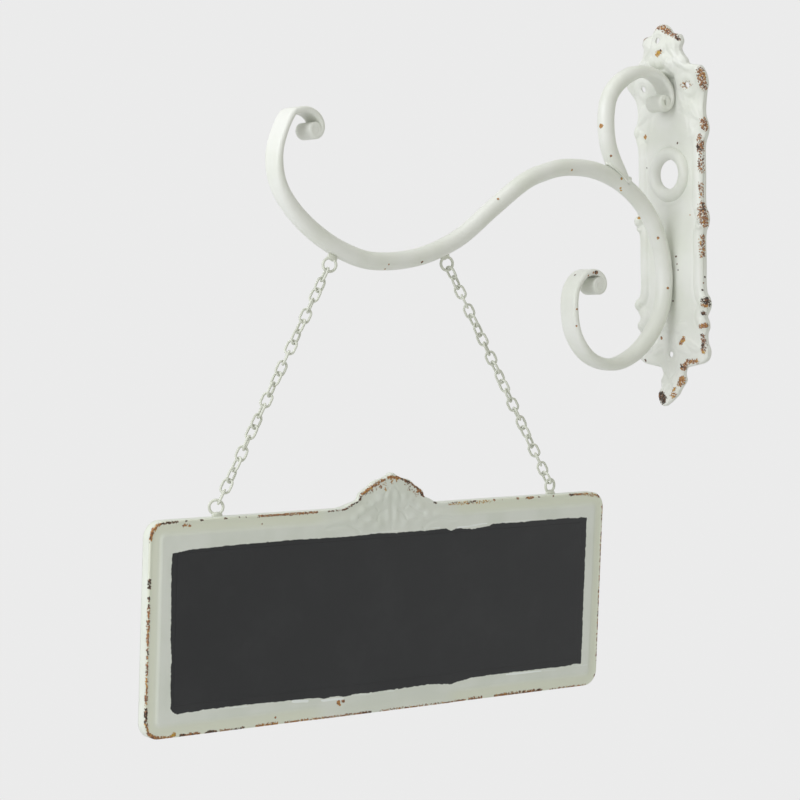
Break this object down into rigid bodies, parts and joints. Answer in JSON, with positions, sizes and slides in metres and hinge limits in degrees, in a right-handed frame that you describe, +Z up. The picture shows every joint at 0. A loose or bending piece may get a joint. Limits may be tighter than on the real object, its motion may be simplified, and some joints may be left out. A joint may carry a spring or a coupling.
{
  "type": "wall chalkboard",
  "caption": "Framed chalkboard with a small crest, hung on chains from a scrolled wall bracket with a pressed ornamental back plate.",
  "frame": {"origin": "on the wall plane, in the middle of the back plate's rim at the plate's lower tip", "axes": "+X points into the wall and the arm reaches towards -X; the board's written face looks towards -Y; +Z is up"},
  "size_m": [0.4901, 0.0834, 0.4949],
  "materials": {
    "ivory_paint": "ivory gloss paint, chipped to rust along edges",
    "frame_paint": "pale grey-green paint, rubbed through to rust along its edges",
    "chalk_black": "flat blackboard paint"
  },
  "bodies": {
    "bracket": {"back_plate": "ivory_paint", "main_scroll_arm": "ivory_paint", "upper_scroll_brace": "ivory_paint", "left_arm_eye": "ivory_paint", "right_arm_eye": "ivory_paint"},
    "left_top_link": {"left_chain_link_01": "ivory_paint"},
    "left_chain": {"left_chain_link_02": "ivory_paint", "left_chain_link_03": "ivory_paint", "left_chain_link_04": "ivory_paint", "left_chain_link_05": "ivory_paint", "left_chain_link_06": "ivory_paint", "left_chain_link_07": "ivory_paint", "left_chain_link_08": "ivory_paint", "left_chain_link_09": "ivory_paint", "left_chain_link_10": "ivory_paint", "left_chain_link_11": "ivory_paint", "left_chain_link_12": "ivory_paint", "left_chain_link_13": "ivory_paint", "left_chain_link_14": "ivory_paint", "left_chain_link_15": "ivory_paint", "left_chain_link_16": "ivory_paint", "left_chain_link_17": "ivory_paint", "left_chain_link_18": "ivory_paint", "left_chain_link_19": "ivory_paint", "left_chain_link_20": "ivory_paint", "left_chain_link_21": "ivory_paint"},
    "left_bottom_link": {"left_chain_link_22": "ivory_paint"},
    "right_chain": {"right_chain_link_01": "ivory_paint", "right_chain_link_02": "ivory_paint", "right_chain_link_03": "ivory_paint", "right_chain_link_04": "ivory_paint", "right_chain_link_05": "ivory_paint", "right_chain_link_06": "ivory_paint", "right_chain_link_07": "ivory_paint", "right_chain_link_08": "ivory_paint", "right_chain_link_09": "ivory_paint", "right_chain_link_10": "ivory_paint", "right_chain_link_11": "ivory_paint", "right_chain_link_12": "ivory_paint", "right_chain_link_13": "ivory_paint", "right_chain_link_14": "ivory_paint", "right_chain_link_15": "ivory_paint", "right_chain_link_16": "ivory_paint", "right_chain_link_17": "ivory_paint", "right_chain_link_18": "ivory_paint", "right_chain_link_19": "ivory_paint", "right_chain_link_20": "ivory_paint", "right_chain_link_21": "ivory_paint", "right_chain_link_22": "ivory_paint", "right_chain_link_23": "ivory_paint"},
    "board": {"board_frame": "frame_paint", "chalk_panel": "chalk_black", "left_board_eye": "ivory_paint", "right_board_eye": "ivory_paint"}
  },
  "joints": [
    {"name": "fore_aft_swing", "type": "hinge", "parent": "bracket", "child": "left_top_link", "pos_m": [-0.3362, 0, 0.10217], "axis": [1, 0, 0.0086], "range_deg": [-35, 35]},
    {"name": "board_sway", "type": "hinge", "parent": "left_top_link", "child": "left_chain", "pos_m": [-0.33996, 0, 0.09599], "axis": [0, 1, 0], "range_deg": [-4, 4]},
    {"name": "left_foot_sway", "type": "hinge", "parent": "left_chain", "child": "left_bottom_link", "pos_m": [-0.42591, 0, -0.04513], "axis": [0, 1, 0], "range_deg": [-1.6, 1.6]},
    {"name": "right_chain_sway", "type": "hinge", "parent": "left_top_link", "child": "right_chain", "pos_m": [-0.22525, 0, 0.10311], "axis": [0, 1, 0], "range_deg": [-3.8, 3.8]},
    {"name": "board_tilt", "type": "hinge", "parent": "left_bottom_link", "child": "board", "pos_m": [-0.28178, 0, -0.05135], "axis": [1, 0, 0], "range_deg": [-30, 30]}
  ],
  "couplings": [
    {"joint": "left_foot_sway", "follows": "board_sway", "ratio": -0.38103},
    {"joint": "right_chain_sway", "follows": "board_sway", "ratio": 0.93729}
  ]
}
